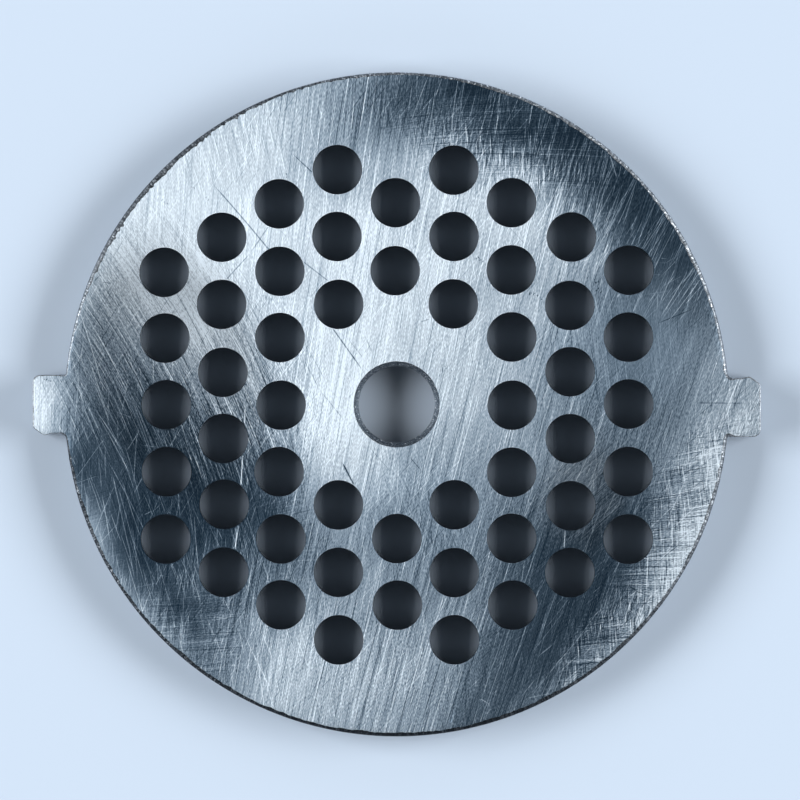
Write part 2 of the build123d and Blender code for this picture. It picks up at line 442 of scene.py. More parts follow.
# --------------------------------------------------------------------------
# single scratches and pits: each is a thin tapering blade cut into the face mesh
# --------------------------------------------------------------------------
class Marks:
    """Blades and pits of one face, kept clear of every edge of the sheet."""

    def __init__(self, edge_xy, hole_edge):
        self.edge_xy = edge_xy
        self.edge_normal = normals_2d(edge_xy)
        self.hole_clear = hole_edge + 0.085
        self.xy, self.edges, self.value = [], [], []
        self.blades = []

    def free(self, p):
        """Whether a point of the face is clear of the rim, the bore and the holes."""
        ok = np.hypot(p[:, 0], p[:, 1]) > BORE_R + BORE_C + 0.10
        for cx, cy in hole_centres:
            ok &= np.hypot(p[:, 0] - cx, p[:, 1] - cy) > self.hole_clear
        r = np.hypot(p[:, 0], p[:, 1])
        far = (r > 26.2) & ok
        ok &= (r < 27.0) | (np.abs(p[:, 1]) < 3.0)
        far &= ok
        if far.any():
            d = p[far][:, None] - self.edge_xy[None]
            near = np.argmin((d ** 2).sum(-1), axis=1)
            out = (d[np.arange(len(near)), near] * self.edge_normal[near]).sum(1)
            ok[far] &= out < -0.085
        return ok

    def _vertex(self, p, v):
        self.xy.append((float(p[0]), float(p[1])))
        self.value.append(v)
        return len(self.xy) - 1

    def blade(self, a, b, half, strength, bow=0.0, taper=0.25):
        a, b = np.array(a, float), np.array(b, float)
        length = float(np.hypot(*(b - a)))
        if length < 0.15:
            return
        n = max(8, int(length / 0.04))
        t = np.linspace(0, 1, n + 1)
        d = (b - a) / length
        side = np.array([-d[1], d[0]])
        line = a + np.outer(t, b - a) + np.outer(bow * 4 * t * (1 - t), side)
        ok = self.free(line)
        i = 0
        while i <= n:
            if not ok[i]:
                i += 1
                continue
            j = i
            while j < n and ok[j + 1]:
                j += 1
            if (j - i) * length / n > 0.12:
                self._piece(line, t, i, j, n, half, strength, taper, length, side, bow)
            i = j + 1

    def _piece(self, line, t, i, j, n, half, strength, taper, length, side, bow):
        start_tip, end_tip = i == 0, j == n
        run = (j - i) * length / n
        inner = [0.0, 1.0]
        if start_tip:
            inner.append(min(0.45, taper * length / run))
        if end_tip:
            inner.append(1 - min(0.45, taper * length / run))
        if abs(bow) > 0.03 and run > 1.5:
            inner += [0.33, 0.66] if not (start_tip and end_tip) else [0.5]
        inner = sorted(set(round(v, 3) for v in inner))
        rows = []
        for f in inner:
            k = i + f * (j - i)
            k0 = int(min(math.floor(k), n - 1))
            p = line[k0] + (line[k0 + 1] - line[k0]) * (k - k0)
            tip = (f == 0.0 and start_tip) or (f == 1.0 and end_tip)
            rows.append((p, 0.0 if tip else half, 0.0 if tip else strength))
        last = None
        for p, h, s in rows:
            if h == 0.0:
                m = self._vertex(p, 0.0)
                now = (m, m, m)
            else:
                now = (self._vertex(p + side * h, 0.0), self._vertex(p, s), self._vertex(p - side * h, 0.0))
            if last is not None:
                for u, v in set(zip(last, now)):
                    self.edges.append((u, v))
            elif h:
                self.edges += [(now[0], now[1]), (now[1], now[2])]
            last = now
        if rows[-1][1]:
            self.edges += [(last[0], last[1]), (last[1], last[2])]
        self.blades.append((np.array([r[0] for r in rows]), np.array([r[1] for r in rows]), np.array([r[2] for r in rows])))

    def pit(self, c, radius, strength, rng, lean=0.0, stretch=1.0, corners=6):
        c = np.array(c, float)
        if not self.free(np.array([c + (dx, dy) for dx in (-radius * stretch, 0, radius * stretch) for dy in (-radius * stretch, 0, radius * stretch)])).all():
            return
        m = self._vertex(c, strength)
        ring = []
        for k in range(corners):
            a = 2 * math.pi * k / corners + rng.uniform(-0.3, 0.3)
            r = radius * rng.uniform(0.65, 1.2)
            q = np.array([r * math.cos(a), r * stretch * math.sin(a)])
            s, co = math.sin(math.radians(lean)), math.cos(math.radians(lean))
            ring.append(self._vertex(c + (q[0] * co + q[1] * s, -q[0] * s + q[1] * co), 0.0))
        for k in range(corners):
            self.edges.append((ring[k], ring[(k + 1) % corners]))
            self.edges.append((m, ring[k]))

    def values(self, xy, base):
        """Strength at every vertex: its own, or that of a blade that passes over it."""
        out = base.copy()
        for pts, half, s in self.blades:
            lo, hi = pts.min(0) - half.max(), pts.max(0) + half.max()
            near = np.where((xy[:, 0] > lo[0]) & (xy[:, 0] < hi[0]) & (xy[:, 1] > lo[1]) & (xy[:, 1] < hi[1]))[0]
            if not len(near):
                continue
            q = xy[near]
            best = np.zeros(len(near))
            for a, b, ha, hb, sa, sb in zip(pts, pts[1:], half, half[1:], s, s[1:]):
                ab = b - a
                t = ((q - a) @ ab) / (ab @ ab)
                d = np.abs((q - a) @ np.array([-ab[1], ab[0]])) / math.sqrt(ab @ ab)
                h = ha + (hb - ha) * t
                v = (sa + (sb - sa) * t) * np.clip(1 - d / np.maximum(h, 1e-6), 0, 1)
                v = np.where((t >= 0) & (t <= 1), v, 0.0)
                best = np.where(np.abs(v) > np.abs(best), v, best)
            cur = out[near]
            out[near] = np.where(np.abs(best) > np.abs(cur), best, cur)
        return out


def scatter(marks, rng, count, zone, lean, spread, length, half, strength, only=None, bow=0.02):
    """`count` random scratches in a soft ellipse (x, y, across, along, lean)."""
    cx, cy, ra, rl, zl = zone
    a = math.radians(zl)
    for _ in range(count):
        r, t = math.sqrt(rng.uniform()), rng.uniform(0, 2 * math.pi)
        u, v = ra * r * math.cos(t), rl * r * math.sin(t)
        x, y = cx + u * math.cos(a) + v * math.sin(a), cy - u * math.sin(a) + v * math.cos(a)
        ang = math.radians((lean(x, y) if callable(lean) else lean) + rng.normal() * spread)
        ln = rng.uniform(*length) * rng.uniform(0.5, 1.0)
        dx, dy = math.sin(ang) * ln / 2, math.cos(ang) * ln / 2
        k = rng.uniform(*strength)
        if only is not None and not only(x, y):
            continue
        if math.hypot(x, y) > 28.5:
            continue
        marks.blade((x - dx, y - dy), (x + dx, y + dy), rng.uniform(*half), k, rng.uniform(-bow, bow) * ln, rng.uniform(0.12, 0.4))


def main_lean(x, y):
    return MAIN[0] + MAIN[1] * x + MAIN[2] * y


# Single scratches that stand out: from, to (mm), half width, strength (+ light, - dark), bow
SINGLE = [
    # dark ones in the bright field
    ((-15.3, 18.3), (-10.4, 12.6), 0.070, -0.52, 0.05), ((-8.5, 20.4), (-6.8, 18.8), 0.065, -0.50, 0.0),
    ((-8.7, 12.4), (-5.4, 9.9), 0.065, -0.40, 0.03), ((-5.3, 6.3), (-2.6, 2.5), 0.070, -0.60, 0.03),
    ((-13.9, 10.1), (-11.9, 12.3), 0.065, -0.42, 0.0), ((-11.9, 12.3), (-10.4, 14.5), 0.060, -0.36, 0.0),
    ((-4.5, -4.6), (-3.5, -6.5), 0.085, -0.85, 0.02), ((21.0, 6.5), (24.2, 7.8), 0.050, -0.30, 0.0),
    ((-7.6, 3.7), (-6.3, 1.2), 0.055, -0.34, 0.04), ((-6.3, 1.2), (-4.2, -1.4), 0.055, -0.32, 0.02),
    ((-7.4, 4.8), (-5.6, 1.5), 0.050, -0.28, 0.04), ((-2.7, 5.8), (-1.9, 4.0), 0.050, -0.36, 0.0),
    ((1.0, -4.2), (2.0, -5.4), 0.055, -0.45, 0.0), ((-4.0, 5.4), (-2.6, 3.6), 0.045, -0.30, 0.0),
    ((1.9, 6.7), (2.7, 6.95), 0.055, -0.40, 0.0), ((3.6, 3.4), (3.75, 2.4), 0.050, -0.34, 0.05),
    ((-15.2, 6.2), (-16.1, 4.6), 0.050, -0.36, 0.0), ((-15.1, 5.6), (-14.6, 4.7), 0.050, -0.34, 0.0),
    ((-24.6, 9.9), (-24.0, 10.5), 0.055, -0.45, 0.12), ((-24.4, 10.7), (-24.0, 10.3), 0.050, -0.36, 0.1),
    ((-24.1, 9.9), (-23.1, 9.75), 0.055, -0.42, 0.10), ((23.9, 0.12), (28.7, 0.10), 0.060, -0.34, 0.0),
    ((18.7, -14.6), (20.8, -15.6), 0.060, -0.42, -0.18), ((-12.0, 5.2), (-9.6, 2.0), 0.045, -0.28, 0.03),
    # light ones, left middle and lower left
    ((-24.6, -0.3), (-22.3, -3.9), 0.055, 0.50, 0.08), ((-25.7, 0.3), (-23.7, -4.7), 0.045, 0.38, 0.06),
    ((-25.3, 0.2), (-24.0, -2.5), 0.050, 0.46, 0.0), ((-24.4, -0.7), (-21.3, -6.4), 0.048, 0.46, 0.05),
    ((-21.0, -1.1), (-21.4, -7.4), 0.050, 0.42, -0.06), ((-20.8, -2.0), (-22.1, -4.0), 0.050, 0.44, 0.0),
    ((-23.0, -5.5), (-20.2, -15.8), 0.046, 0.40, 0.03), ((-22.3, -2.6), (-20.6, -8.9), 0.042, 0.36, 0.05),
    ((-21.4, -7.3), (-20.7, -6.0), 0.046, 0.42, 0.0), ((-12.3, 0.3), (-12.7, -7.0), 0.056, 1.15, 0.03),
    ((-12.9, -10.0), (-13.2, -12.2), 0.054, 1.0, 0.0), ((-12.75, -7.2), (-12.9, -9.9), 0.050, 0.8, 0.0),
    ((-12.1, -5.2), (-12.35, -9.8), 0.045, 0.38, 0.02), ((-10.3, 0.3), (-10.9, -2.8), 0.050, 0.42, 0.02),
    ((-9.7, 0.3), (-9.95, -3.4), 0.046, 0.36, 0.02), ((-11.9, -2.4), (-12.3, -5.7), 0.046, 0.36, 0.0),
    ((-17.8, -6.9), (-17.6, -11.4), 0.050, 0.44, 0.05), ((-17.6, -7.4), (-17.95, -9.3), 0.046, 0.40, 0.0),
    ((-13.9, -5.2), (-13.7, -6.4), 0.045, 0.40, 0.0), ((-13.4, -5.2), (-13.1, -6.3), 0.045, 0.36, 0.0),
    ((-17.8, -13.2), (-17.1, -16.1), 0.048, 0.42, 0.03), ((-17.2, -12.9), (-17.9, -16.0), 0.046, 0.40, 0.02),
    ((-20.4, -6.6), (-17.0, -1.2), 0.048, 0.42, 0.06), ((-24.2, -3.4), (-19.9, -11.6), 0.045, 0.38, 0.15),
    ((-19.8, -8.6), (-20.6, -9.0), 0.052, 0.46, 0.02), ((-17.4, -12.2), (-16.9, -15.6), 0.050, 0.40, 0.05),
    ((-14.2, -12.1), (-13.0, -15.1), 0.050, 0.40, 0.0), ((-16.6, -2.4), (-15.5, -6.4), 0.044, 0.34, 0.04),
    ((13.7, -10.2), (13.6, -11.8), 0.060, 0.75, 0.0), ((0.15, -4.3), (0.0, -8.0), 0.050, 0.30, 0.02),
    # upper right
    ((17.25, 20.5), (17.95, 18.2), 0.060, 0.62, 0.02), ((18.35, 19.9), (18.0, 18.2), 0.050, 0.52, 0.0),
    ((11.1, 24.9), (10.7, 22.4), 0.055, 0.55, 0.02), ((10.6, 21.9), (9.7, 18.2), 0.050, 0.48, 0.06),
    ((14.0, 19.6), (10.9, 13.6), 0.048, 0.44, 0.10), ((15.9, 21.2), (14.8, 17.2), 0.046, 0.42, 0.04),
    ((13.3, 21.5), (12.4, 17.0), 0.044, 0.40, 0.05), ((19.6, 18.4), (17.6, 13.8), 0.046, 0.42, 0.05),
    ((6.6, -24.0), (7.6, -24.6), 0.045, 0.40, 0.25), ((7.6, -24.6), (7.2, -25.2), 0.045, 0.36, 0.15),
]
# Chains of small pits: from, to (mm), how many, size, wander, strength
PIT_CHAINS = [
    ((-9.2, 18.7), (-8.2, 18.0), 8, 0.085, 0.16, -0.75), ((3.4, 9.9), (5.1, 8.4), 11, 0.085, 0.22, -0.70),
    ((9.9, 9.5), (11.9, 8.5), 15, 0.095, 0.20, -0.78), ((16.0, 9.6), (16.5, 9.2), 5, 0.090, 0.12, -0.70),
    ((6.5, 11.9), (6.9, 11.6), 5, 0.090, 0.12, -0.70), ((-8.6, 1.9), (-6.6, -1.0), 6, 0.060, 0.10, -0.45),
    ((3.8, 3.2), (4.6, 2.4), 5, 0.065, 0.15, -0.42), ((15.4, 10.4), (17.4, 9.6), 6, 0.075, 0.25, -0.55),
    ((-28.7, 2.1), (-28.1, 1.9), 6, 0.090, 0.10, -0.80), ((-27.5, 1.9), (-25.9, 1.5), 5, 0.060, 0.20, -0.50),
    ((-3.6, 20.4), (1.5, 20.8), 6, 0.060, 0.60, -0.40), ((-14.5, 5.6), (-12.0, 3.4), 6, 0.055, 0.40, -0.40),
    ((-11.0, 8.9), (-10.6, 8.6), 5, 0.085, 0.14, -0.60), ((-16.7, 17.8), (-16.4, 17.5), 3, 0.080, 0.10, -0.60),
    ((-15.5, 16.9), (-15.2, 16.6), 3, 0.075, 0.10, -0.55), ((-19.1, 16.6), (-18.7, 16.3), 3, 0.060, 0.15, -0.45),
]


def top_marks(edge_xy):
    m = Marks(edge_xy, HOLE_R + 0.025)
    rng = np.random.default_rng(2024)
    for a, b, half, s, bow in SINGLE:
        m.blade(a, b, half, s, bow, 0.22)
    for a, b, count, size, wander, s in PIT_CHAINS:
        for k in range(count):
            f = (k + rng.uniform(0.1, 0.9)) / count
            c = (a[0] + (b[0] - a[0]) * f + rng.normal() * wander * 0.5, a[1] + (b[1] - a[1]) * f + rng.normal() * wander * 0.5)
            m.pit(c, size * rng.uniform(0.6, 1.25), s * rng.uniform(0.6, 1.1), rng, rng.uniform(-60, 60), rng.uniform(1.0, 2.2))

    dark_zone = lambda x, y: painted_sheen_luminance(np.array([x]), np.array([y]))[0] < 135
    mid_zone = lambda x, y: 95 < painted_sheen_luminance(np.array([x]), np.array([y]))[0] < 190
    light_zone = lambda x, y: painted_sheen_luminance(np.array([x]), np.array([y]))[0] > 150
    w1, w2, w3 = (0.030, 0.045), (0.034, 0.052), (0.040, 0.058)
    # upper right crescent: long fine lines running in from the rim, and a few strays
    for z, n in (((10.0, 21.0, 5.5, 10.0, 112.0), 160), ((19.0, 15.0, 5.0, 9.0, 140.0), 130)):
        scatter(m, rng, n, z, lambda x, y: main_lean(x, y) + 2 + max(0.0, x - 14.0) * 1.3, 5.5, (2.0, 9.5), w1, (0.14, 0.48))
        scatter(m, rng, n // 6, z, lambda x, y: main_lean(x, y), 34.0, (1.0, 4.5), w1, (0.14, 0.36))
        scatter(m, rng, n // 6, z, 86.0, 7.0, (0.8, 3.0), w1, (0.10, 0.24))
    # left middle
    z = (-19.0, -2.5, 8.5, 13.5, -15.0)
    scatter(m, rng, 170, z, lambda x, y: -22.0 - 0.7 * (y + 2), 7.0, (2.5, 11.0), (0.026, 0.040), (0.16, 0.54), dark_zone)
    scatter(m, rng, 75, z, 2.0, 7.0, (1.5, 7.5), w1, (0.14, 0.46), dark_zone)
    scatter(m, rng, 55, z, 30.0, 12.0, (1.0, 6.0), w1, (0.12, 0.42), dark_zone)
    scatter(m, rng, 16, z, -62.0, 20.0, (0.8, 3.5), w1, (0.12, 0.32), dark_zone)
    # lower left
    z = (-14.0, -15.5, 9.0, 8.0, 0.0)
    scatter(m, rng, 80, z, -14.0, 8.0, (1.6, 8.0), (0.026, 0.040), (0.14, 0.48))
    scatter(m, rng, 75, z, 12.0, 9.0, (1.2, 6.5), w1, (0.12, 0.44))
    scatter(m, rng, 36, z, 86.0, 6.0, (0.8, 3.2), w1, (0.10, 0.24))
    # lower right
    z = (15.0, -15.0, 8.0, 11.0, 35.0)
    scatter(m, rng, 130, z, lambda x, y: main_lean(x, y) + 8, 11.0, (1.5, 7.0), w1, (0.12, 0.42))
    scatter(m, rng, 26, z, 0.0, 40.0, (0.8, 4.0), w1, (0.10, 0.28))
    # lower right rim, crossed
    z = (24.0, -10.0, 3.8, 11.0, 22.0)
    scatter(m, rng, 170, z, 84.0, 5.0, (0.8, 4.6), w1, (-0.52, 0.22))
    scatter(m, rng, 300, z, 1.0, 3.0, (0.8, 5.0), w1, (-0.36, 0.52))
    scatter(m, rng, 55, z, 80.0, 4.0, (1.0, 4.0), (0.024, 0.034), (-0.40, 0.30))
    z = (18.6, -19.6, 3.4, 6.6, 48.0)
    scatter(m, rng, 85, z, 82.0, 5.0, (0.8, 4.2), (0.024, 0.036), (-0.40, 0.34))
    scatter(m, rng, 85, z, 3.0, 4.0, (0.8, 4.2), (0.024, 0.036), (-0.30, 0.44))
    # lower left rim, crossed
    z = (-23.0, -12.0, 3.2, 9.0, -30.0)
    scatter(m, rng, 40, z, 78.0, 8.0, (0.8, 3.4), (0.024, 0.034), (-0.30, 0.30))
    # foot and middle: fine light and dark lines in the bright field
    scatter(m, rng, 120, (-2.0, -18.5, 13.0, 8.0, 0.0), lambda x, y: main_lean(x, y) + 3, 7.0, (1.0, 7.0), w1, (-0.34, 0.34))
    scatter(m, rng, 60, (0.0, -6.0, 10.0, 9.0, 0.0), lambda x, y: main_lean(x, y), 10.0, (1.0, 5.0), w1, (-0.24, 0.22))
    scatter(m, rng, 46, (0.0, 8.0, 16.0, 16.0, 0.0), -38.0, 12.0, (0.8, 4.0), (0.024, 0.036), (-0.30, -0.10), light_zone)
    scatter(m, rng, 30, (0.0, 8.0, 16.0, 16.0, 0.0), 25.0, 30.0, (0.6, 3.0), (0.024, 0.036), (-0.26, -0.08), light_zone)
    scatter(m, rng, 40, (-13.0, 15.0, 11.0, 10.0, 0.0), 6.0, 10.0, (0.8, 4.0), w1, (-0.22, 0.12))
    scatter(m, rng, 40, (18.0, 3.0, 8.0, 8.0, 0.0), lambda x, y: main_lean(x, y), 18.0, (0.8, 4.5), w1, (-0.22, 0.26))
    # left lug and its root
    scatter(m, rng, 16, (-27.0, 0.0, 2.4, 2.2, 0.0), 8.0, 10.0, (0.6, 2.4), w1, (-0.34, -0.08))
    scatter(m, rng, 14, (27.4, -0.2, 2.0, 1.9, 0.0), 2.0, 9.0, (0.6, 2.4), w1, (-0.22, 0.22))
    # scattered pits
    for _ in range(110):
        x, y = rng.uniform(-26, 26), rng.uniform(-26, 26)
        if math.hypot(x, y) < 26:
            m.pit((x, y), rng.uniform(0.035, 0.07), rng.uniform(-0.42, -0.15), rng, rng.uniform(-90, 90), rng.uniform(1.0, 2.0), 5)
    return m


def under_marks(edge_xy):
    m = Marks(edge_xy, HOLE_R + 0.056)
    rng = np.random.default_rng(77)
    w = (0.034, 0.056)
    scatter(m, rng, 110, (0.0, 0.0, 25.0, 25.0, 0.0), -14.0, 8.0, (1.5, 8.0), w, (-0.26, 0.30))
    scatter(m, rng, 60, (6.0, 4.0, 18.0, 18.0, 0.0), 24.0, 14.0, (1.0, 6.0), w, (-0.28, 0.30))
    scatter(m, rng, 30, (0.0, 0.0, 25.0, 25.0, 0.0), 80.0, 30.0, (0.8, 4.0), w, (-0.26, 0.26))
    for _ in range(50):
        x, y = rng.uniform(-26, 26), rng.uniform(-26, 26)
        if math.hypot(x, y) < 26:
            m.pit((x, y), rng.uniform(0.05, 0.11), rng.uniform(-0.5, -0.2), rng, rng.uniform(-90, 90), rng.uniform(1.0, 2.0), 5)
    return m


# --------------------------------------------------------------------------
# plate mesh
# --------------------------------------------------------------------------
FACE, UNDER, RIM, WALL, BORE, HOLE = range(6)


def build_plate():
    verts, faces, slots = [], [], []
    loop_id = []                       # which closed edge a vertex lies on, 0 for none
    along = []                         # distance along the outline, for the rim and wall
    total = [0]

    def add(xy, z, loop=0, s=0.0):
        i = total[0]
        n = len(xy)
        verts.append(np.column_stack([xy, np.broadcast_to(z, n)]))
        loop_id.append(np.full(n, loop))
        along.append(np.broadcast_to(s, n).astype(float))
        total[0] += n
        return np.arange(i, i + n)

    def keep(f, slot):
        faces.append(np.asarray(f))
        slots.append(np.full(len(f), slot))

    def band(a, b, slot, flip=False):
        """Quads between two rings of the same length."""
        a2, b2 = np.roll(a, -1), np.roll(b, -1)
        keep(np.column_stack([a, a2, b2, b]) if flip else np.column_stack([b, b2, a2, a]), slot)

    # ---- outside -------------------------------------------------------
    loop, s_along = outline(0.104)
    n = len(loop)
    normal = normals_2d(loop)
    ang = np.arctan2(loop[:, 1], loop[:, 0])
    base_width, light, burr = edge_data(loop)
    on_lug = np.clip((np.hypot(loop[:, 0], loop[:, 1]) - 27.1) / 0.5, 0, 1)
    rough = ring_noise(n, n // 2, 11)
    mid = ring_noise(n, n // 9, 12)
    slow = ring_noise(n, 47, 13)
    rng = np.random.default_rng(5)
    width = base_width * (1 + 0.14 * slow + 0.12 * mid + 0.13 * rough)

    def nicks(count, a0, a1, depth, breadth):
        nonlocal width
        for _ in range(count):
            a = rng.uniform(math.radians(a0), math.radians(a1))
            da = (ang - a + math.pi) % (2 * math.pi) - math.pi
            width = width + (1 - on_lug) * rng.uniform(*depth) * np.exp(-(da / rng.uniform(*breadth)) ** 2)

    nicks(58, 92, 160, (0.03, 0.11), (0.0020, 0.0050))      # where the shear bit in
    nicks(30, -60, 5, (-0.05, 0.07), (0.0020, 0.0060))
    nicks(30, -165, -110, (-0.04, 0.07), (0.0020, 0.0050))
    nicks(26, 10, 85, (-0.04, 0.05), (0.0020, 0.0050))
    width = np.clip(width, 0.05, 0.54)
    # the lugs' edges are slightly ragged
    ragged = on_lug * (0.018 * ring_noise(n, n // 3, 31) + 0.016 * ring_noise(n, n // 10, 32))
    width = width + np.clip(ragged, -0.02, 0.04)
    edge_noise = 0.010 * ring_noise(n, n // 4, 21) + 0.008 * ring_noise(n, n // 14, 22)
    deep = 1 - 0.75 * on_lug                                 # the lugs' edges are barely rolled over

    def ring_at(offset, z, loop_no=0):
        xy = loop + normal * np.broadcast_to(offset, n)[:, None]
        return add(xy, np.broadcast_to(z, n), loop_no, s_along)

    top_z = H - face_drop(loop[:, 0], loop[:, 1])
    burr_up = 0.020 * burr * np.clip(ring_noise(n, n // 3, 25), 0, 1)
    profile = [
        (-width, top_z),
        (-width * 0.82, top_z - deep * (0.010 - 0.006 * rough)),
        (-width * 0.60, top_z - deep * (0.034 - 0.010 * mid)),
        (-width * 0.38 + edge_noise * 0.6, top_z - deep * (0.075 - 0.016 * rough)),
        (-width * 0.19 + edge_noise, top_z - deep * (0.125 - 0.014 * mid) + burr_up),
        (-0.022 + edge_noise * 0.7, top_z - deep * 0.20 + burr_up * 0.5),
        (0.0 + edge_noise * 0.2, top_z - deep * 0.33),
    ]
    rings = [ring_at(profile[0][0], profile[0][1], 1)] + [ring_at(o, z) for o, z in profile[1:]]
    for a, b in zip(rings, rings[1:]):
        band(a, b, RIM)
    top_xy = loop + normal * (-width)[:, None]

    # wall: half the resolution is enough below the edge
    half = loop[::2]
    hn = normal[::2]
    m = n // 2
    e2 = edge_noise[::2]
    wave = 0.10 * ring_noise(m, 60, 23) + 0.05 * ring_noise(m, 170, 24)

    def wall_ring(offset, z, loop_no=0):
        xy = half + hn * np.broadcast_to(offset, m)[:, None]
        return add(xy, np.broadcast_to(z, m), loop_no, s_along[::2]), xy

    lower = [(0.0 + e2 * 0.15, H - 0.60), (0.0 + e2 * 0.15, H - 1.05 + wave)]
    for i, z in enumerate([1.72, 1.45, 1.15, 0.85, 0.55, 0.30]):
        depth = 0.035 + 0.009 * i
        noise = 0.020 * ring_noise(m, m // 3, 40 + i) + 0.016 * ring_noise(m, m // 9, 60 + i)
        lower.append((-depth + noise, z + wave * (1 - i / 6) * 0.8))
    lower.append((-0.115 + e2, 0.070))
    lower.append((-0.170 + e2, 0.016))
    lower.append((-0.230 + 0.015 * rough[::2], 0.0))
    walls = []
    for k, (o, z) in enumerate(lower):
        ids, xy = wall_ring(o, z, 2 if k == len(lower) - 1 else 0)
        walls.append(ids)
        bottom_xy = xy
    a, b = rings[-1], walls[0]
    a0, a1, a2 = a[::2], a[1::2], np.roll(a[::2], -1)
    b0, b1 = b, np.roll(b, -1)
    keep(np.column_stack([b0, a1, a0]), WALL)
    keep(np.column_stack([b0, b1, a1]), WALL)
    keep(np.column_stack([b1, a2, a1]), WALL)
    for k, (a, b) in enumerate(zip(walls, walls[1:])):
        band(a, b, WALL if k < len(walls) - 3 else UNDER)

    # ---- bore ----------------------------------------------------------
    m = 200
    t = np.arange(m) / m * 2 * math.pi
    unit = np.column_stack([np.cos(t), np.sin(t)])

    def bore_ring(r, z, loop_no=0):
        xy = unit * np.broadcast_to(r, m)[:, None]
        return add(xy, np.broadcast_to(z, m), loop_no, t * BORE_R), xy

    top_r = BORE_R + BORE_C + 0.012 * ring_noise(m, 66, 71) + 0.008 * ring_noise(m, 17, 72)
    zt = H - face_drop(unit[:, 0] * 3.5, unit[:, 1] * 3.5)
    first, top_bore_xy = bore_ring(top_r, zt, 3)
    bore_rings = [first]
    steps = 7
    for i in range(1, steps + 1):
        f = i / steps
        grain = 0.020 * ring_noise(m, 90, 80 + i) + 0.012 * ring_noise(m, 41, 180 + i)
        r = top_r * (1 - f) + BORE_R * f + grain * math.sin(math.pi * min(f + 0.08, 1))
        z = zt - BORE_C * f - 0.020 * math.sin(math.pi * f) + grain * 0.7 * math.sin(math.pi * f)
        bore_rings.append(bore_ring(r, z)[0])
    for i, z in enumerate([2.2, 1.6, 1.0, 0.45]):
        bore_rings.append(bore_ring(BORE_R + 0.004 * ring_noise(m, 50, 90 + i), z)[0])
    for i in range(1, 4):
        f = i / 3
        g = 0.014 * ring_noise(m, 73, 95 + i) * math.sin(math.pi * f)
        last, bottom_bore_xy = bore_ring(BORE_R + BORE_C * f + g, 0.4 * (1 - f), 4 if i == 3 else 0)
        bore_rings.append(last)
    for i, (a, b) in enumerate(zip(bore_rings, bore_rings[1:])):
        band(a, b, BORE if i < steps or i >= steps + 4 else HOLE, flip=True)

    # ---- mincing holes ---------------------------------------------------
    k = 60
    th = np.arange(k) / k * 2 * math.pi
    u = np.column_stack([np.cos(th), np.sin(th)])
    top_holes, bottom_holes = [], []
    for j, (cx, cy) in enumerate(hole_centres):
        c = np.array([cx, cy])
        out = 1.0 + 0.0015 * ring_noise(k, 5, 300 + j)
        zt = H - face_drop(cx + u[:, 0] * 2, cy + u[:, 1] * 2)
        lip = 0.018 + 0.007 * ring_noise(k, 16, 400 + j)
        prof = [(HOLE_R * out + lip, zt), (HOLE_R * out, zt - 0.035),
                (HOLE_R + 0.012 + 0.006 * ring_noise(k, 21, 700 + j), 0.35 + 0 * th),
                (HOLE_R + 0.050 + 0.006 * ring_noise(k, 21, 900 + j), 0.0 * th)]
        ids = []
        for i, (r, z) in enumerate(prof):
            ids.append(add(c + u * r[:, None], z, 10 + 2 * j + (0 if i == 0 else 1) if i in (0, 3) else 0, th * HOLE_R))
        for a, b in zip(ids, ids[1:]):
            band(a, b, HOLE, flip=True)
        top_holes.append((ids[0], c + u * prof[0][0][:, None]))
        bottom_holes.append((ids[-1], c + u * prof[-1][0][:, None]))

    mark_value = {}

    # ---- the two faces ---------------------------------------------------
    def sheet(outer, bore, holes, marks, zfun, slot, spacing, upward):
        loops = [outer, bore] + holes
        xy = np.vstack([l[1] for l in loops])
        ids = np.concatenate([l[0] for l in loops])
        which = np.concatenate([np.full(len(l[0]), i) for i, l in enumerate(loops)])
        edges, at = [], 0
        for l in loops:
            c = len(l[0])
            edges += [(at + i, at + (i + 1) % c) for i in range(c)]
            at += c
        edges += [(a + at, b + at) for a, b in marks.edges]
        mark_xy = np.array(marks.xy)
        own = np.concatenate([np.zeros(at), np.array(marks.value)])
        xy = np.vstack([xy, mark_xy])
        which = np.concatenate([which, np.full(len(mark_xy), -1)])
        # inner points on a triangular grid, clear of every edge
        inner = []
        for row, y in enumerate(np.arange(-27.5, 27.5, spacing * math.sqrt(3) / 2)):
            xs = np.arange(-30, 30, spacing) + (spacing / 2 if row % 2 else 0)
            inner.append(np.column_stack([xs, np.full_like(xs, y)]))
        inner = np.vstack(inner)
        r = np.hypot(inner[:, 0], inner[:, 1])
        lug_box = (np.abs(inner[:, 0]) < 29.3) & (np.abs(inner[:, 1] - np.where(inner[:, 0] > 0, LUG_Y[1], LUG_Y[-1])) < 2.0)
        ok = marks.free(inner) & (r > 3.80) & ((r < R - 0.55) | lug_box)
        for cx, cy in hole_centres:
            ok &= np.hypot(inner[:, 0] - cx, inner[:, 1] - cy) > HOLE_R + 0.20
        inner = inner[ok]
        xy = np.vstack([xy, inner])
        own = np.concatenate([own, np.zeros(len(inner))])
        which = np.concatenate([which, np.full(len(inner), -1)])
        v, _, tri, ov, _, _ = delaunay_2d_cdt([Vector(p) for p in xy.tolist()], edges, [], 0, 1e-5, True)
        vv = np.array([tuple(p) for p in v])
        source = np.array([min(o) if len(o) else -1 for o in ov])
        tri = np.array([t for t in tri if len(t) == 3])
        w = np.where(source >= 0, which[source], -1)
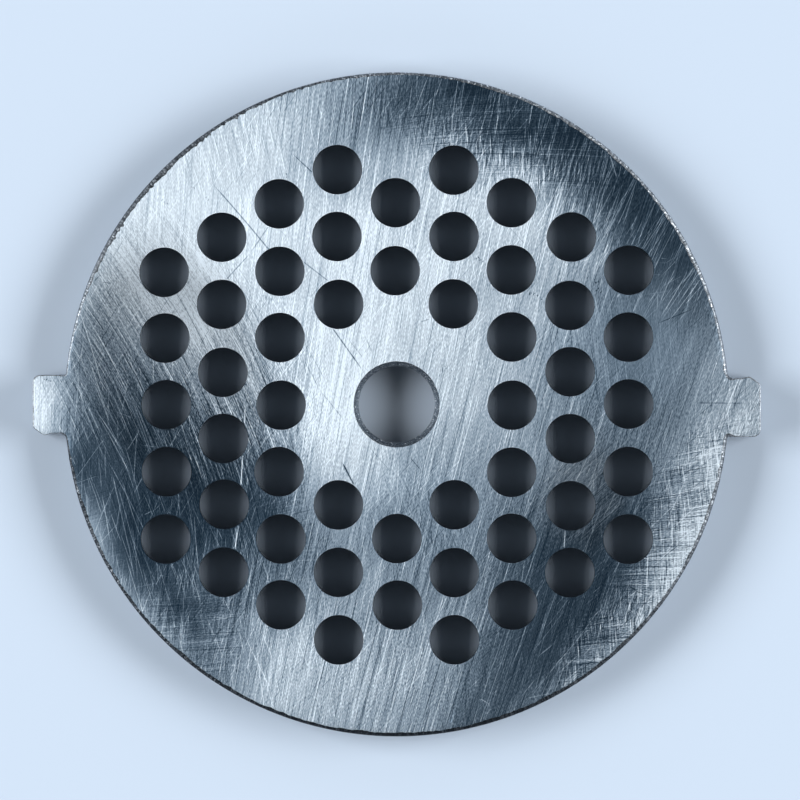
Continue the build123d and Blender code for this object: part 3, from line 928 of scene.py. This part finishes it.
        # drop what lies in a hole or outside the outline: only there do all three corners share one edge loop
        t_loop = w[tri]
        same = (t_loop[:, 0] >= 0) & (t_loop[:, 0] == t_loop[:, 1]) & (t_loop[:, 1] == t_loop[:, 2])
        drop = np.zeros(len(tri), bool)
        cen = vv[tri].mean(1)
        for i, l in enumerate(loops):
            sel = np.where(same & (t_loop[:, 0] == i))[0]
            if len(sel):
                inside = inside_polygon(cen[sel], l[1])
                drop[sel[~inside if i == 0 else inside]] = True
        tri = tri[~drop]
        a, b, c = vv[tri[:, 0]], vv[tri[:, 1]], vv[tri[:, 2]]
        area = (b[:, 0] - a[:, 0]) * (c[:, 1] - a[:, 1]) - (b[:, 1] - a[:, 1]) * (c[:, 0] - a[:, 0])
        tri = tri[np.abs(area) > 1e-9]
        area = area[np.abs(area) > 1e-9]
        flip = (area < 0) if upward else (area > 0)
        tri[flip] = tri[flip][:, ::-1]
        # every vertex that isn't already on a loop becomes a new one
        new = w < 0
        out = np.empty(len(vv), int)
        out[~new] = ids[source[~new]]
        out[new] = add(vv[new], zfun(vv[new][:, 0], vv[new][:, 1]))
        base = np.where(source >= 0, own[source], 0.0)
        mark_value[slot] = (out, marks.values(vv, base))
        keep(out[tri], slot)
        print("sheet", slot, "vertices", len(vv), "triangles", len(tri), "new", int(new.sum()), "crossings", int((source < 0).sum()))

    sheet((rings[0], top_xy), (bore_rings[0], top_bore_xy), top_holes, top_marks(top_xy),
          lambda x, y: H - face_drop(x, y), FACE, 0.50, True)
    sheet((walls[-1], bottom_xy), (bore_rings[-1], bottom_bore_xy), bottom_holes, under_marks(bottom_xy),
          lambda x, y: 0.0 * x, UNDER, 1.0, False)

    xyz = np.vstack(verts)
    loop_no = np.concatenate(loop_id)
    s_all = np.concatenate(along)
    poly = []
    for f in faces:
        poly += list(map(tuple, f.tolist()))
    me = bpy.data.meshes.new("steel_plate")
    me.from_pydata((xyz * MM).tolist(), [], poly)
    me.update()
    me.polygons.foreach_set("material_index", np.concatenate(slots).astype(np.int32))
    me.polygons.foreach_set("use_smooth", np.ones(len(poly), dtype=bool))
    me.set_sharp_from_angle(angle=math.radians(40))
    # the edges of every hole are sharp all round
    ev = np.empty(len(me.edges) * 2, dtype=np.int32)
    me.edges.foreach_get("vertices", ev)
    ev = ev.reshape(-1, 2)
    ring_edge = (loop_no[ev[:, 0]] > 1) & (loop_no[ev[:, 0]] == loop_no[ev[:, 1]])
    sharp = me.attributes.get("sharp_edge") or me.attributes.new("sharp_edge", "BOOLEAN", "EDGE")
    flags = np.zeros(len(me.edges), dtype=bool)
    sharp.data.foreach_get("value", flags)
    sharp.data.foreach_set("value", flags | ring_edge)

    # ---- what the materials read at each vertex --------------------------
    x, y, z = xyz[:, 0], xyz[:, 1], xyz[:, 2]
    top = z > 1.5
    wx = x + 0.05 * value_noise(x, y, 6.0, 91)
    wy = y + 0.05 * value_noise(x, y, 6.0, 93)
    data = np.zeros((len(x), 3 * 5))
    ua, va, aa, ub, vb, ab, wb = grind_fields(wx, wy, MAIN, SECOND)
    uc, vc, ac, ud, vd, ad, wd = grind_fields(wx, wy, UNDER_MAIN, UNDER_SECOND)
    pick = lambda p, q: np.where(top, p, q)
    lean = pick(aa * (1 - wb) + np.where(np.abs(ab) < 1.1, ab, aa) * wb, ac)
    # lum and tone are the painted sheen and shade of each face
    lum = pick(painted_sheen_luminance(x, y), underside_painted_sheen_luminance(x, y))
    tone = (lum - 20.0) / 220.0
    # the finest lines stand out most where the face is neither very bright nor deep in the painted shade
    share = pick(wb, wd)
    contrast = pick(grain_strength(x, y, lum), np.full(len(x), 0.8)) / np.sqrt(share ** 2 + (1 - share) ** 2)
    fingers = pick(finger_strength(x, y), np.full(len(x), 0.5))
    mark = np.zeros(len(x))
    for out, value in mark_value.values():
        mark[out] = value
    width_here, painted_edge_light, painted_burr_glint = edge_data(xyz[:, :2])
    packs = {
        "grind_a": np.column_stack([pick(ua, uc), pick(va, vc), pick(fingers, fingers)]),
        "grind_b": np.column_stack([pick(ub, ud), pick(vb, vd), pick(wb, wd)]),
        # shade: painted sheen and shade, grain contrast, and real scratches and pits
        "shade": np.column_stack([tone, contrast, mark]),
        "groove": np.column_stack([np.cos(lean), -np.sin(lean), pick(weave_strength(x, y), 0 * x)]),
        "edge": np.column_stack([s_all, painted_edge_light, painted_burr_glint]),
    }
    for name, value in packs.items():
        at = me.attributes.new(name, "FLOAT_VECTOR", "POINT")
        at.data.foreach_set("vector", np.ascontiguousarray(value, dtype=np.float32).ravel())
    ob = bpy.data.objects.new("steel_plate", me)
    scene.collection.objects.link(ob)
    tris = sum(len(f) * (f.shape[1] - 2) for f in faces)
    print("plate", len(x), "vertices", tris, "triangles")
    return ob


# --------------------------------------------------------------------------
# node helper
# --------------------------------------------------------------------------
class Net:
    def __init__(self, tree):
        self.t = tree
        self.x = 0

    def new(self, kind, **props):
        n = self.t.nodes.new(kind)
        self.x += 1
        n.location = ((self.x % 40) * 180, -(self.x // 40) * 260)
        for k, v in props.items():
            setattr(n, k, v)
        return n

    def put(self, socket, value):
        if isinstance(value, bpy.types.NodeSocket):
            self.t.links.new(value, socket)
        elif value is not None:
            socket.default_value = value

    def math(self, op, a, b=None, c=None, clamp=False):
        n = self.new("ShaderNodeMath", operation=op, use_clamp=clamp)
        for i, v in enumerate((a, b, c)):
            if v is not None:
                self.put(n.inputs[i], v)
        return n.outputs[0]

    def add(self, *v):
        out = v[0]
        for w in v[1:]:
            out = self.math("ADD", out, w)
        return out

    def sub(self, a, b):
        return self.math("SUBTRACT", a, b)

    def mul(self, *v):
        out = v[0]
        for w in v[1:]:
            out = self.math("MULTIPLY", out, w)
        return out

    def madd(self, a, b, c):
        return self.math("MULTIPLY_ADD", a, b, c)

    def vec(self, op, a, b=None, scale=None):
        n = self.new("ShaderNodeVectorMath", operation=op)
        self.put(n.inputs[0], a)
        if b is not None:
            self.put(n.inputs[1], b)
        if scale is not None:
            self.put(n.inputs[3], scale)
        return n.outputs[1] if op in ("LENGTH", "DISTANCE", "DOT_PRODUCT") else n.outputs[0]

    def xyz(self, v):
        n = self.new("ShaderNodeSeparateXYZ")
        self.put(n.inputs[0], v)
        return n.outputs

    def join(self, x=0.0, y=0.0, z=0.0):
        n = self.new("ShaderNodeCombineXYZ")
        for i, v in enumerate((x, y, z)):
            self.put(n.inputs[i], v)
        return n.outputs[0]

    def noise(self, v, scale=1.0, detail=2.0, rough=0.5, distort=0.0, dims="3D", colour=False):
        n = self.new("ShaderNodeTexNoise", noise_dimensions=dims)
        self.put(n.inputs["Vector"], v)
        n.inputs["Scale"].default_value = scale
        n.inputs["Detail"].default_value = detail
        n.inputs["Roughness"].default_value = rough
        n.inputs["Distortion"].default_value = distort
        return n.outputs[1] if colour else n.outputs[0]

    def voronoi(self, v, scale=1.0, dims="2D", randomness=1.0):
        n = self.new("ShaderNodeTexVoronoi", voronoi_dimensions=dims)
        self.put(n.inputs["Vector"], v)
        n.inputs["Scale"].default_value = scale
        n.inputs["Randomness"].default_value = randomness
        return n.outputs

    def remap(self, v, a, b, c=0.0, d=1.0, smooth=False, clamp=True):
        n = self.new("ShaderNodeMapRange", clamp=clamp)
        n.interpolation_type = "SMOOTHSTEP" if smooth else "LINEAR"
        self.put(n.inputs[0], v)
        for i, k in enumerate((a, b, c, d)):
            self.put(n.inputs[i + 1], k)
        return n.outputs[0]

    def mix(self, f, a, b):
        n = self.new("ShaderNodeMix", data_type="FLOAT")
        self.put(n.inputs[0], f)
        self.put(n.inputs[2], a)
        self.put(n.inputs[3], b)
        return n.outputs[0]

    def mixc(self, f, a, b, mode="MIX"):
        n = self.new("ShaderNodeMix", data_type="RGBA", blend_type=mode)
        self.put(n.inputs[0], f)
        self.put(n.inputs[6], a)
        self.put(n.inputs[7], b)
        return n.outputs[2]

    def ramp(self, f, stops, mode="LINEAR"):
        n = self.new("ShaderNodeValToRGB")
        r = n.color_ramp
        r.interpolation = mode
        while len(r.elements) > 1:
            r.elements.remove(r.elements[-1])
        r.elements[0].position, r.elements[0].color = stops[0][0], stops[0][1]
        for p, c in stops[1:]:
            e = r.elements.new(p)
            e.color = c
        self.put(n.inputs[0], f)
        return n.outputs[0]

    def attribute(self, name):
        a = self.new("ShaderNodeAttribute", attribute_name=name)
        return self.xyz(a.outputs["Vector"])

    def millimetres(self):
        tc = self.new("ShaderNodeTexCoord")
        return self.vec("SCALE", tc.outputs["Object"], scale=1000.0)

    def drawn(self, c, width, length, shift=0.0, detail=1.0, rough=0.6):
        """2-D noise drawn out along the grinding marks."""
        return self.noise(self.join(self.mul(c[0], 1.0 / width), self.madd(c[1], 1.0 / length, shift), 0.0), 1.0, detail, rough, dims="2D")

    def hairlines(self, c, width, length, shift, shear, rare=1.0):
        """Fine separate lines, each its own lightness, at a slight angle to the grinding marks."""
        v = self.join(self.mul(self.madd(c[1], shear, c[0]), 1.0 / width), self.madd(c[1], 1.0 / length, shift), 0.0)
        o = self.voronoi(v)
        spindle = self.remap(o[0], 0.0, 0.5, 1.0, 0.0)
        r = self.madd(self.xyz(o[1])[0], 2.0, -1.0)
        return self.mul(spindle, r, self.math("POWER", self.math("ABSOLUTE", r), rare))


def material(name):
    m = bpy.data.materials.new(name)
    m.use_nodes = True
    t = m.node_tree
    for n in list(t.nodes):
        t.nodes.remove(n)
    out = t.nodes.new("ShaderNodeOutputMaterial")
    b = t.nodes.new("ShaderNodeBsdfPrincipled")
    t.links.new(b.outputs[0], out.inputs[0])
    return m, Net(t), b


# --------------------------------------------------------------------------
# materials
# --------------------------------------------------------------------------
def linear(v):
    v = np.clip(v, 0, 255) / 255
    return np.where(v <= 0.04045, v / 12.92, ((v + 0.055) / 1.055) ** 2.4)


def steel_colour(lum):
    """Bluish ground steel that reads `lum` (0 to 255) under the two softboxes: `lum` carries the painted sheen and
    shade, and the blue tint is partly a painted reflection of a blue backdrop.
    """
    gain = 0.68 + 0.34 * step(lum, 90.0, 235.0)      # open grinding marks return more of the light
    pale = step(lum, 160.0, 215.0)                   # the lightest steel is a little less blue
    c = linear(np.array([lum - 13.0 + 4.0 * pale, lum + 2.3, lum + 16.0 - 5.0 * pale])) / gain
    return (*np.clip(c, 0.002, 0.97).tolist(), 1.0)


def tone_stops():
    # the darkest painted shade stops at a dark blue grey, and doesn't go black
    stops = []
    for t in (-0.0, 0.07, 0.14, 0.21, 0.28, 0.37, 0.47, 0.58, 0.69, 0.80, 0.90, 1.0):
        lum = 20 + 220 * t
        stops.append((t, steel_colour(lum + 24.0 * (1 - step(t, 0.0, 0.30)))))
    return stops


def steel_face(name, seed):
    m, n, b = material(name)
    ga, gb, sh, gr = n.attribute("grind_a"), n.attribute("grind_b"), n.attribute("shade"), n.attribute("groove")
    def both(make, k):
        return n.mix(gb[2], make(ga, seed + k), make(gb, seed + k + 40.5))

    fine = n.sub(both(lambda c, k: n.drawn(c, 0.057, 0.24, k, 0.0, 0.80), 0.0), 0.5)
    wide = n.sub(both(lambda c, k: n.drawn(c, 0.50, 7.5, k, 1.0, 0.60), 160.5), 0.5)
    short = both(lambda c, k: n.hairlines(c, 0.082, 4.6, k, 0.04), 300.5)
    long = both(lambda c, k: n.hairlines(c, 0.105, 15.0, k, -0.025, 1.8), 500.5)
    stray = n.add(n.hairlines(ga, 0.085, 3.5, seed + 700.5, -0.55, 6.0), n.hairlines(ga, 0.085, 3.0, seed + 800.5, 0.38, 6.0))
    crossing = n.hairlines((gb[1], gb[0]), 0.084, 2.0, seed + 900.5, 0.03)
    streak = n.add(n.mul(fine, FINE), n.mul(short, SHORT), n.mul(long, LONG), n.mul(stray, STRAY))
    streak = n.madd(n.mul(crossing, WEAVE), gr[2], streak)
    tone = n.madd(streak, sh[1], sh[0])
    tone = n.madd(n.mul(wide, WIDE), ga[2], tone)
    tone = n.add(tone, sh[2])
    # the base colour carries the painted sheen and shade of the face, with its grinding streaks and real scratches and
    # pits on it
    n.put(b.inputs["Base Color"], n.ramp(tone, tone_stops()))
    b.inputs["Metallic"].default_value = 1.0
    n.put(b.inputs["Roughness"], n.remap(tone, 0.0, 1.0, ROUGH[0], ROUGH[1]))
    b.inputs["Anisotropic"].default_value = 0.70
    # grooves run along the grinding direction, so the steel is roughest across it
    across = n.join(gr[0], gr[1], 0.0)
    n.put(b.inputs["Tangent"], across)
    # each groove tips the surface a little to one side
    g = n.new("ShaderNodeNewGeometry")
    tip = n.vec("ADD", g.outputs["Normal"], n.vec("SCALE", across, scale=n.mul(streak, 0.35)))
    n.put(b.inputs["Normal"], n.vec("NORMALIZE", tip))
    return m


FINE, SHORT, LONG, STRAY, WIDE = 0.42, 0.41, 0.46, 0.28, 0.17
WEAVE = 0.56
ROUGH = (0.36, 0.50)


def steel_rim(name):
    """Sheared edge rolled over by the press and left unground: coarse, with cross marks and bright burr; its lightness
    round the plate is painted light and shade, and the burr's bright specks are painted glints.
    """
    m, n, b = material(name)
    p = n.millimetres()
    e = n.attribute("edge")
    cuts = n.noise(n.join(n.mul(e[0], 6.0), n.mul(n.xyz(p)[2], 1.5), 0.0), 1.0, 2.0, 0.7, dims="2D")
    fine = n.noise(p, 7.5, 1.0, 0.7)
    # e[1] is painted light and shade: the edge lighter or darker by which way it faces the light
    tone = n.add(n.mul(n.sub(cuts, 0.5), 0.75), n.mul(n.sub(fine, 0.5), 0.55), e[1])
    # bright specks on the burr: painted glints, strongest where the burr is marked
    glint_specks = n.remap(n.noise(n.vec("ADD", p, (7.7, 3.1, 0.0)), 6.0, 0.0), 0.60, 0.72)
    tone = n.madd(n.mul(glint_specks, e[2]), 0.55, tone)
    n.put(b.inputs["Base Color"], n.ramp(tone, [
        (0.0, (0.014, 0.018, 0.023, 1)), (0.2, (0.050, 0.058, 0.068, 1)), (0.4, (0.14, 0.155, 0.172, 1)),
        (0.7, (0.38, 0.41, 0.44, 1)), (1.0, (0.80, 0.83, 0.86, 1))]))
    b.inputs["Metallic"].default_value = 1.0
    n.put(b.inputs["Roughness"], n.remap(tone, 0.0, 1.0, 0.62, 0.42))
    bump = n.new("ShaderNodeBump")
    bump.inputs["Strength"].default_value = 0.6
    bump.inputs["Distance"].default_value = 0.00003
    n.put(bump.inputs["Height"], cuts)
    n.put(b.inputs["Normal"], bump.outputs[0])
    return m


def steel_wall(name):
    """Side of the blank: a burnished band where the punch sheared it, and torn metal below."""
    m, n, b = material(name)
    p = n.millimetres()
    z = n.xyz(p)[2]
    e = n.attribute("edge")
    torn = n.remap(n.madd(n.noise(n.join(n.mul(e[0], 0.8), 3.0, 0.0), 1.0, 2.0, dims="2D"), 0.35, z), 2.25, 2.02, 0.0, 1.0, smooth=True)
    lines = n.noise(n.join(n.mul(e[0], 9.0), n.mul(z, 0.8), 0.0), 1.0, 2.0, 0.6, dims="2D")
    grain = n.noise(p, 4.5, 3.0, 0.68)
    tone = n.mix(torn, n.add(n.mul(lines, 0.7), 0.22), n.add(n.mul(grain, 0.9), -0.10))
    n.put(b.inputs["Base Color"], n.ramp(tone, [
        (0.0, (0.06, 0.068, 0.078, 1)), (0.4, (0.20, 0.22, 0.24, 1)), (0.7, (0.42, 0.45, 0.48, 1)), (1.0, (0.70, 0.73, 0.76, 1))]))
    b.inputs["Metallic"].default_value = 1.0
    n.put(b.inputs["Roughness"], n.mix(torn, 0.30, 0.55))
    bump = n.new("ShaderNodeBump")
    bump.inputs["Strength"].default_value = 0.6
    bump.inputs["Distance"].default_value = 0.00004
    n.put(bump.inputs["Height"], n.mix(torn, n.mul(lines, 0.5), n.mul(grain, 1.6)))
    n.put(b.inputs["Normal"], bump.outputs[0])
    return m


def steel_bore(name):
    """Punched countersink of the bore, coarse and dark, with painted glints."""
    m, n, b = material(name)
    p = n.millimetres()
    grain = n.noise(p, 6.0, 2.0, 0.75)
    # painted glints: bright specks laid into the base colour
    painted_glint = n.remap(n.noise(n.vec("ADD", p, (3.3, 9.1, 0.0)), 9.0, 0.0), 0.62, 0.74)
    tone = n.madd(painted_glint, 0.40, n.add(n.mul(n.sub(grain, 0.5), 1.3), 0.34))
    n.put(b.inputs["Base Color"], n.ramp(tone, [
        (0.0, (0.025, 0.035, 0.045, 1)), (0.35, (0.080, 0.100, 0.125, 1)), (0.7, (0.24, 0.27, 0.30, 1)), (1.0, (0.60, 0.63, 0.66, 1))]))
    b.inputs["Metallic"].default_value = 1.0
    b.inputs["Roughness"].default_value = 0.58
    bump = n.new("ShaderNodeBump")
    bump.inputs["Strength"].default_value = 0.8
    bump.inputs["Distance"].default_value = 0.00004
    n.put(bump.inputs["Height"], grain)
    n.put(b.inputs["Normal"], bump.outputs[0])
    return m


def steel_hole(name):
    """Walls of the mincing holes: drawn by the punch, with fine lines down the bore."""
    m, n, b = material(name)
    p = n.millimetres()
    x = n.xyz(p)
    lines = n.noise(n.join(n.mul(x[0], 7.0), n.mul(x[1], 7.0), n.mul(x[2], 0.5)), 1.0, 1.0, 0.6)
    n.put(b.inputs["Base Color"], n.ramp(lines, [
        (0.25, (0.032, 0.037, 0.044, 1)), (0.5, (0.080, 0.092, 0.106, 1)), (0.75, (0.19, 0.21, 0.23, 1))]))
    b.inputs["Metallic"].default_value = 1.0
    b.inputs["Roughness"].default_value = 0.40
    return m


plate = build_plate()
for slot_material in (
    steel_face("ground_face", 1.0),
    steel_face("ground_underside", 9.0),
    steel_rim("rolled_rim"),
    steel_wall("sheared_wall"),
    steel_bore("bore_countersink"),
    steel_hole("hole_wall"),
):
    plate.data.materials.append(slot_material)
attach(plate, "root")
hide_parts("plate")


# --------------------------------------------------------------------------
# floor, light, camera
# --------------------------------------------------------------------------
def add_floor():
    s = 6.0
    me = bpy.data.meshes.new("floor")
    z = -0.00002
    me.from_pydata([(-s, -s, z), (s, -s, z), (s, s, z), (-s, s, z)], [], [(0, 1, 2, 3)])
    ob = bpy.data.objects.new("floor", me)
    scene.collection.objects.link(ob)
    m, n, b = material("floor")
    b.inputs["Base Color"].default_value = (0.57, 0.655, 0.76, 1)
    b.inputs["Roughness"].default_value = 0.85
    b.inputs["Specular IOR Level"].default_value = 0.0
    me.materials.append(m)


def softbox(name, place, aim, size, power, colour=(1, 1, 1), spread=180):
    d = bpy.data.lights.new(name, "AREA")
    d.shape = "RECTANGLE"
    d.size, d.size_y = size
    d.energy = power
    d.color = colour
    d.spread = math.radians(spread)
    o = bpy.data.objects.new(name, d)
    o.location = place
    o.rotation_mode = "QUATERNION"
    o.rotation_quaternion = (Vector(aim) - Vector(place)).to_track_quat("-Z", "Y")
    o.visible_camera = False
    scene.collection.objects.link(o)
    return o


add_floor()
softbox("softbox_left", (-2.900, 0.250, 1.800), (0, 0, 0.0), (2.5, 1.5), 120.0, (0.97, 0.985, 1.0))
softbox("softbox_right", (2.900, 0.150, 1.800), (0, 0, 0.0), (2.5, 1.5), 112.0, (0.97, 0.985, 1.0))

world = bpy.data.worlds.new("studio")
world.use_nodes = True
wt = world.node_tree
for nd in list(wt.nodes):
    wt.nodes.remove(nd)
wn = Net(wt)
wout = wn.new("ShaderNodeOutputWorld")
wbg = wn.new("ShaderNodeBackground")
wt.links.new(wbg.outputs[0], wout.inputs[0])
wtc = wn.new("ShaderNodeTexCoord")
up = wn.xyz(wtc.outputs["Generated"])[2]
glow = wn.remap(up, 0.15, 0.80, 1.0, 0.0, smooth=True)
wn.put(wbg.inputs[0], wn.ramp(glow, [
    (0.0, (0.007, 0.0075, 0.0085, 1)), (0.18, (0.06, 0.066, 0.074, 1)), (0.50, (0.82, 0.89, 0.98, 1)), (0.85, (0.98, 1.06, 1.16, 1)), (1.0, (0.70, 0.76, 0.84, 1))]))
wbg.inputs[1].default_value = 1.0
scene.world = world

cam_data = bpy.data.cameras.new("camera")
cam = bpy.data.objects.new("camera", cam_data)
scene.collection.objects.link(cam)
cam_data.sensor_width = 36.0
cam_data.lens = 1000.0
cam_data.clip_start, cam_data.clip_end = 0.05, 20.0
FIELD = 800 * 0.0813 * MM                     # width of the picture at the face
distance = FIELD / 2 / math.tan(math.atan(18.0 / 1000.0))
# the plate's middle sits a little left of and below the picture's middle
cam.location = ((400 - 396.7) * 0.0813 * MM, (404.4 - 400) * 0.0813 * MM, H * MM + distance)
cam.rotation_euler = (0, 0, 0)
scene.camera = cam
scene.view_settings.view_transform = "Standard"
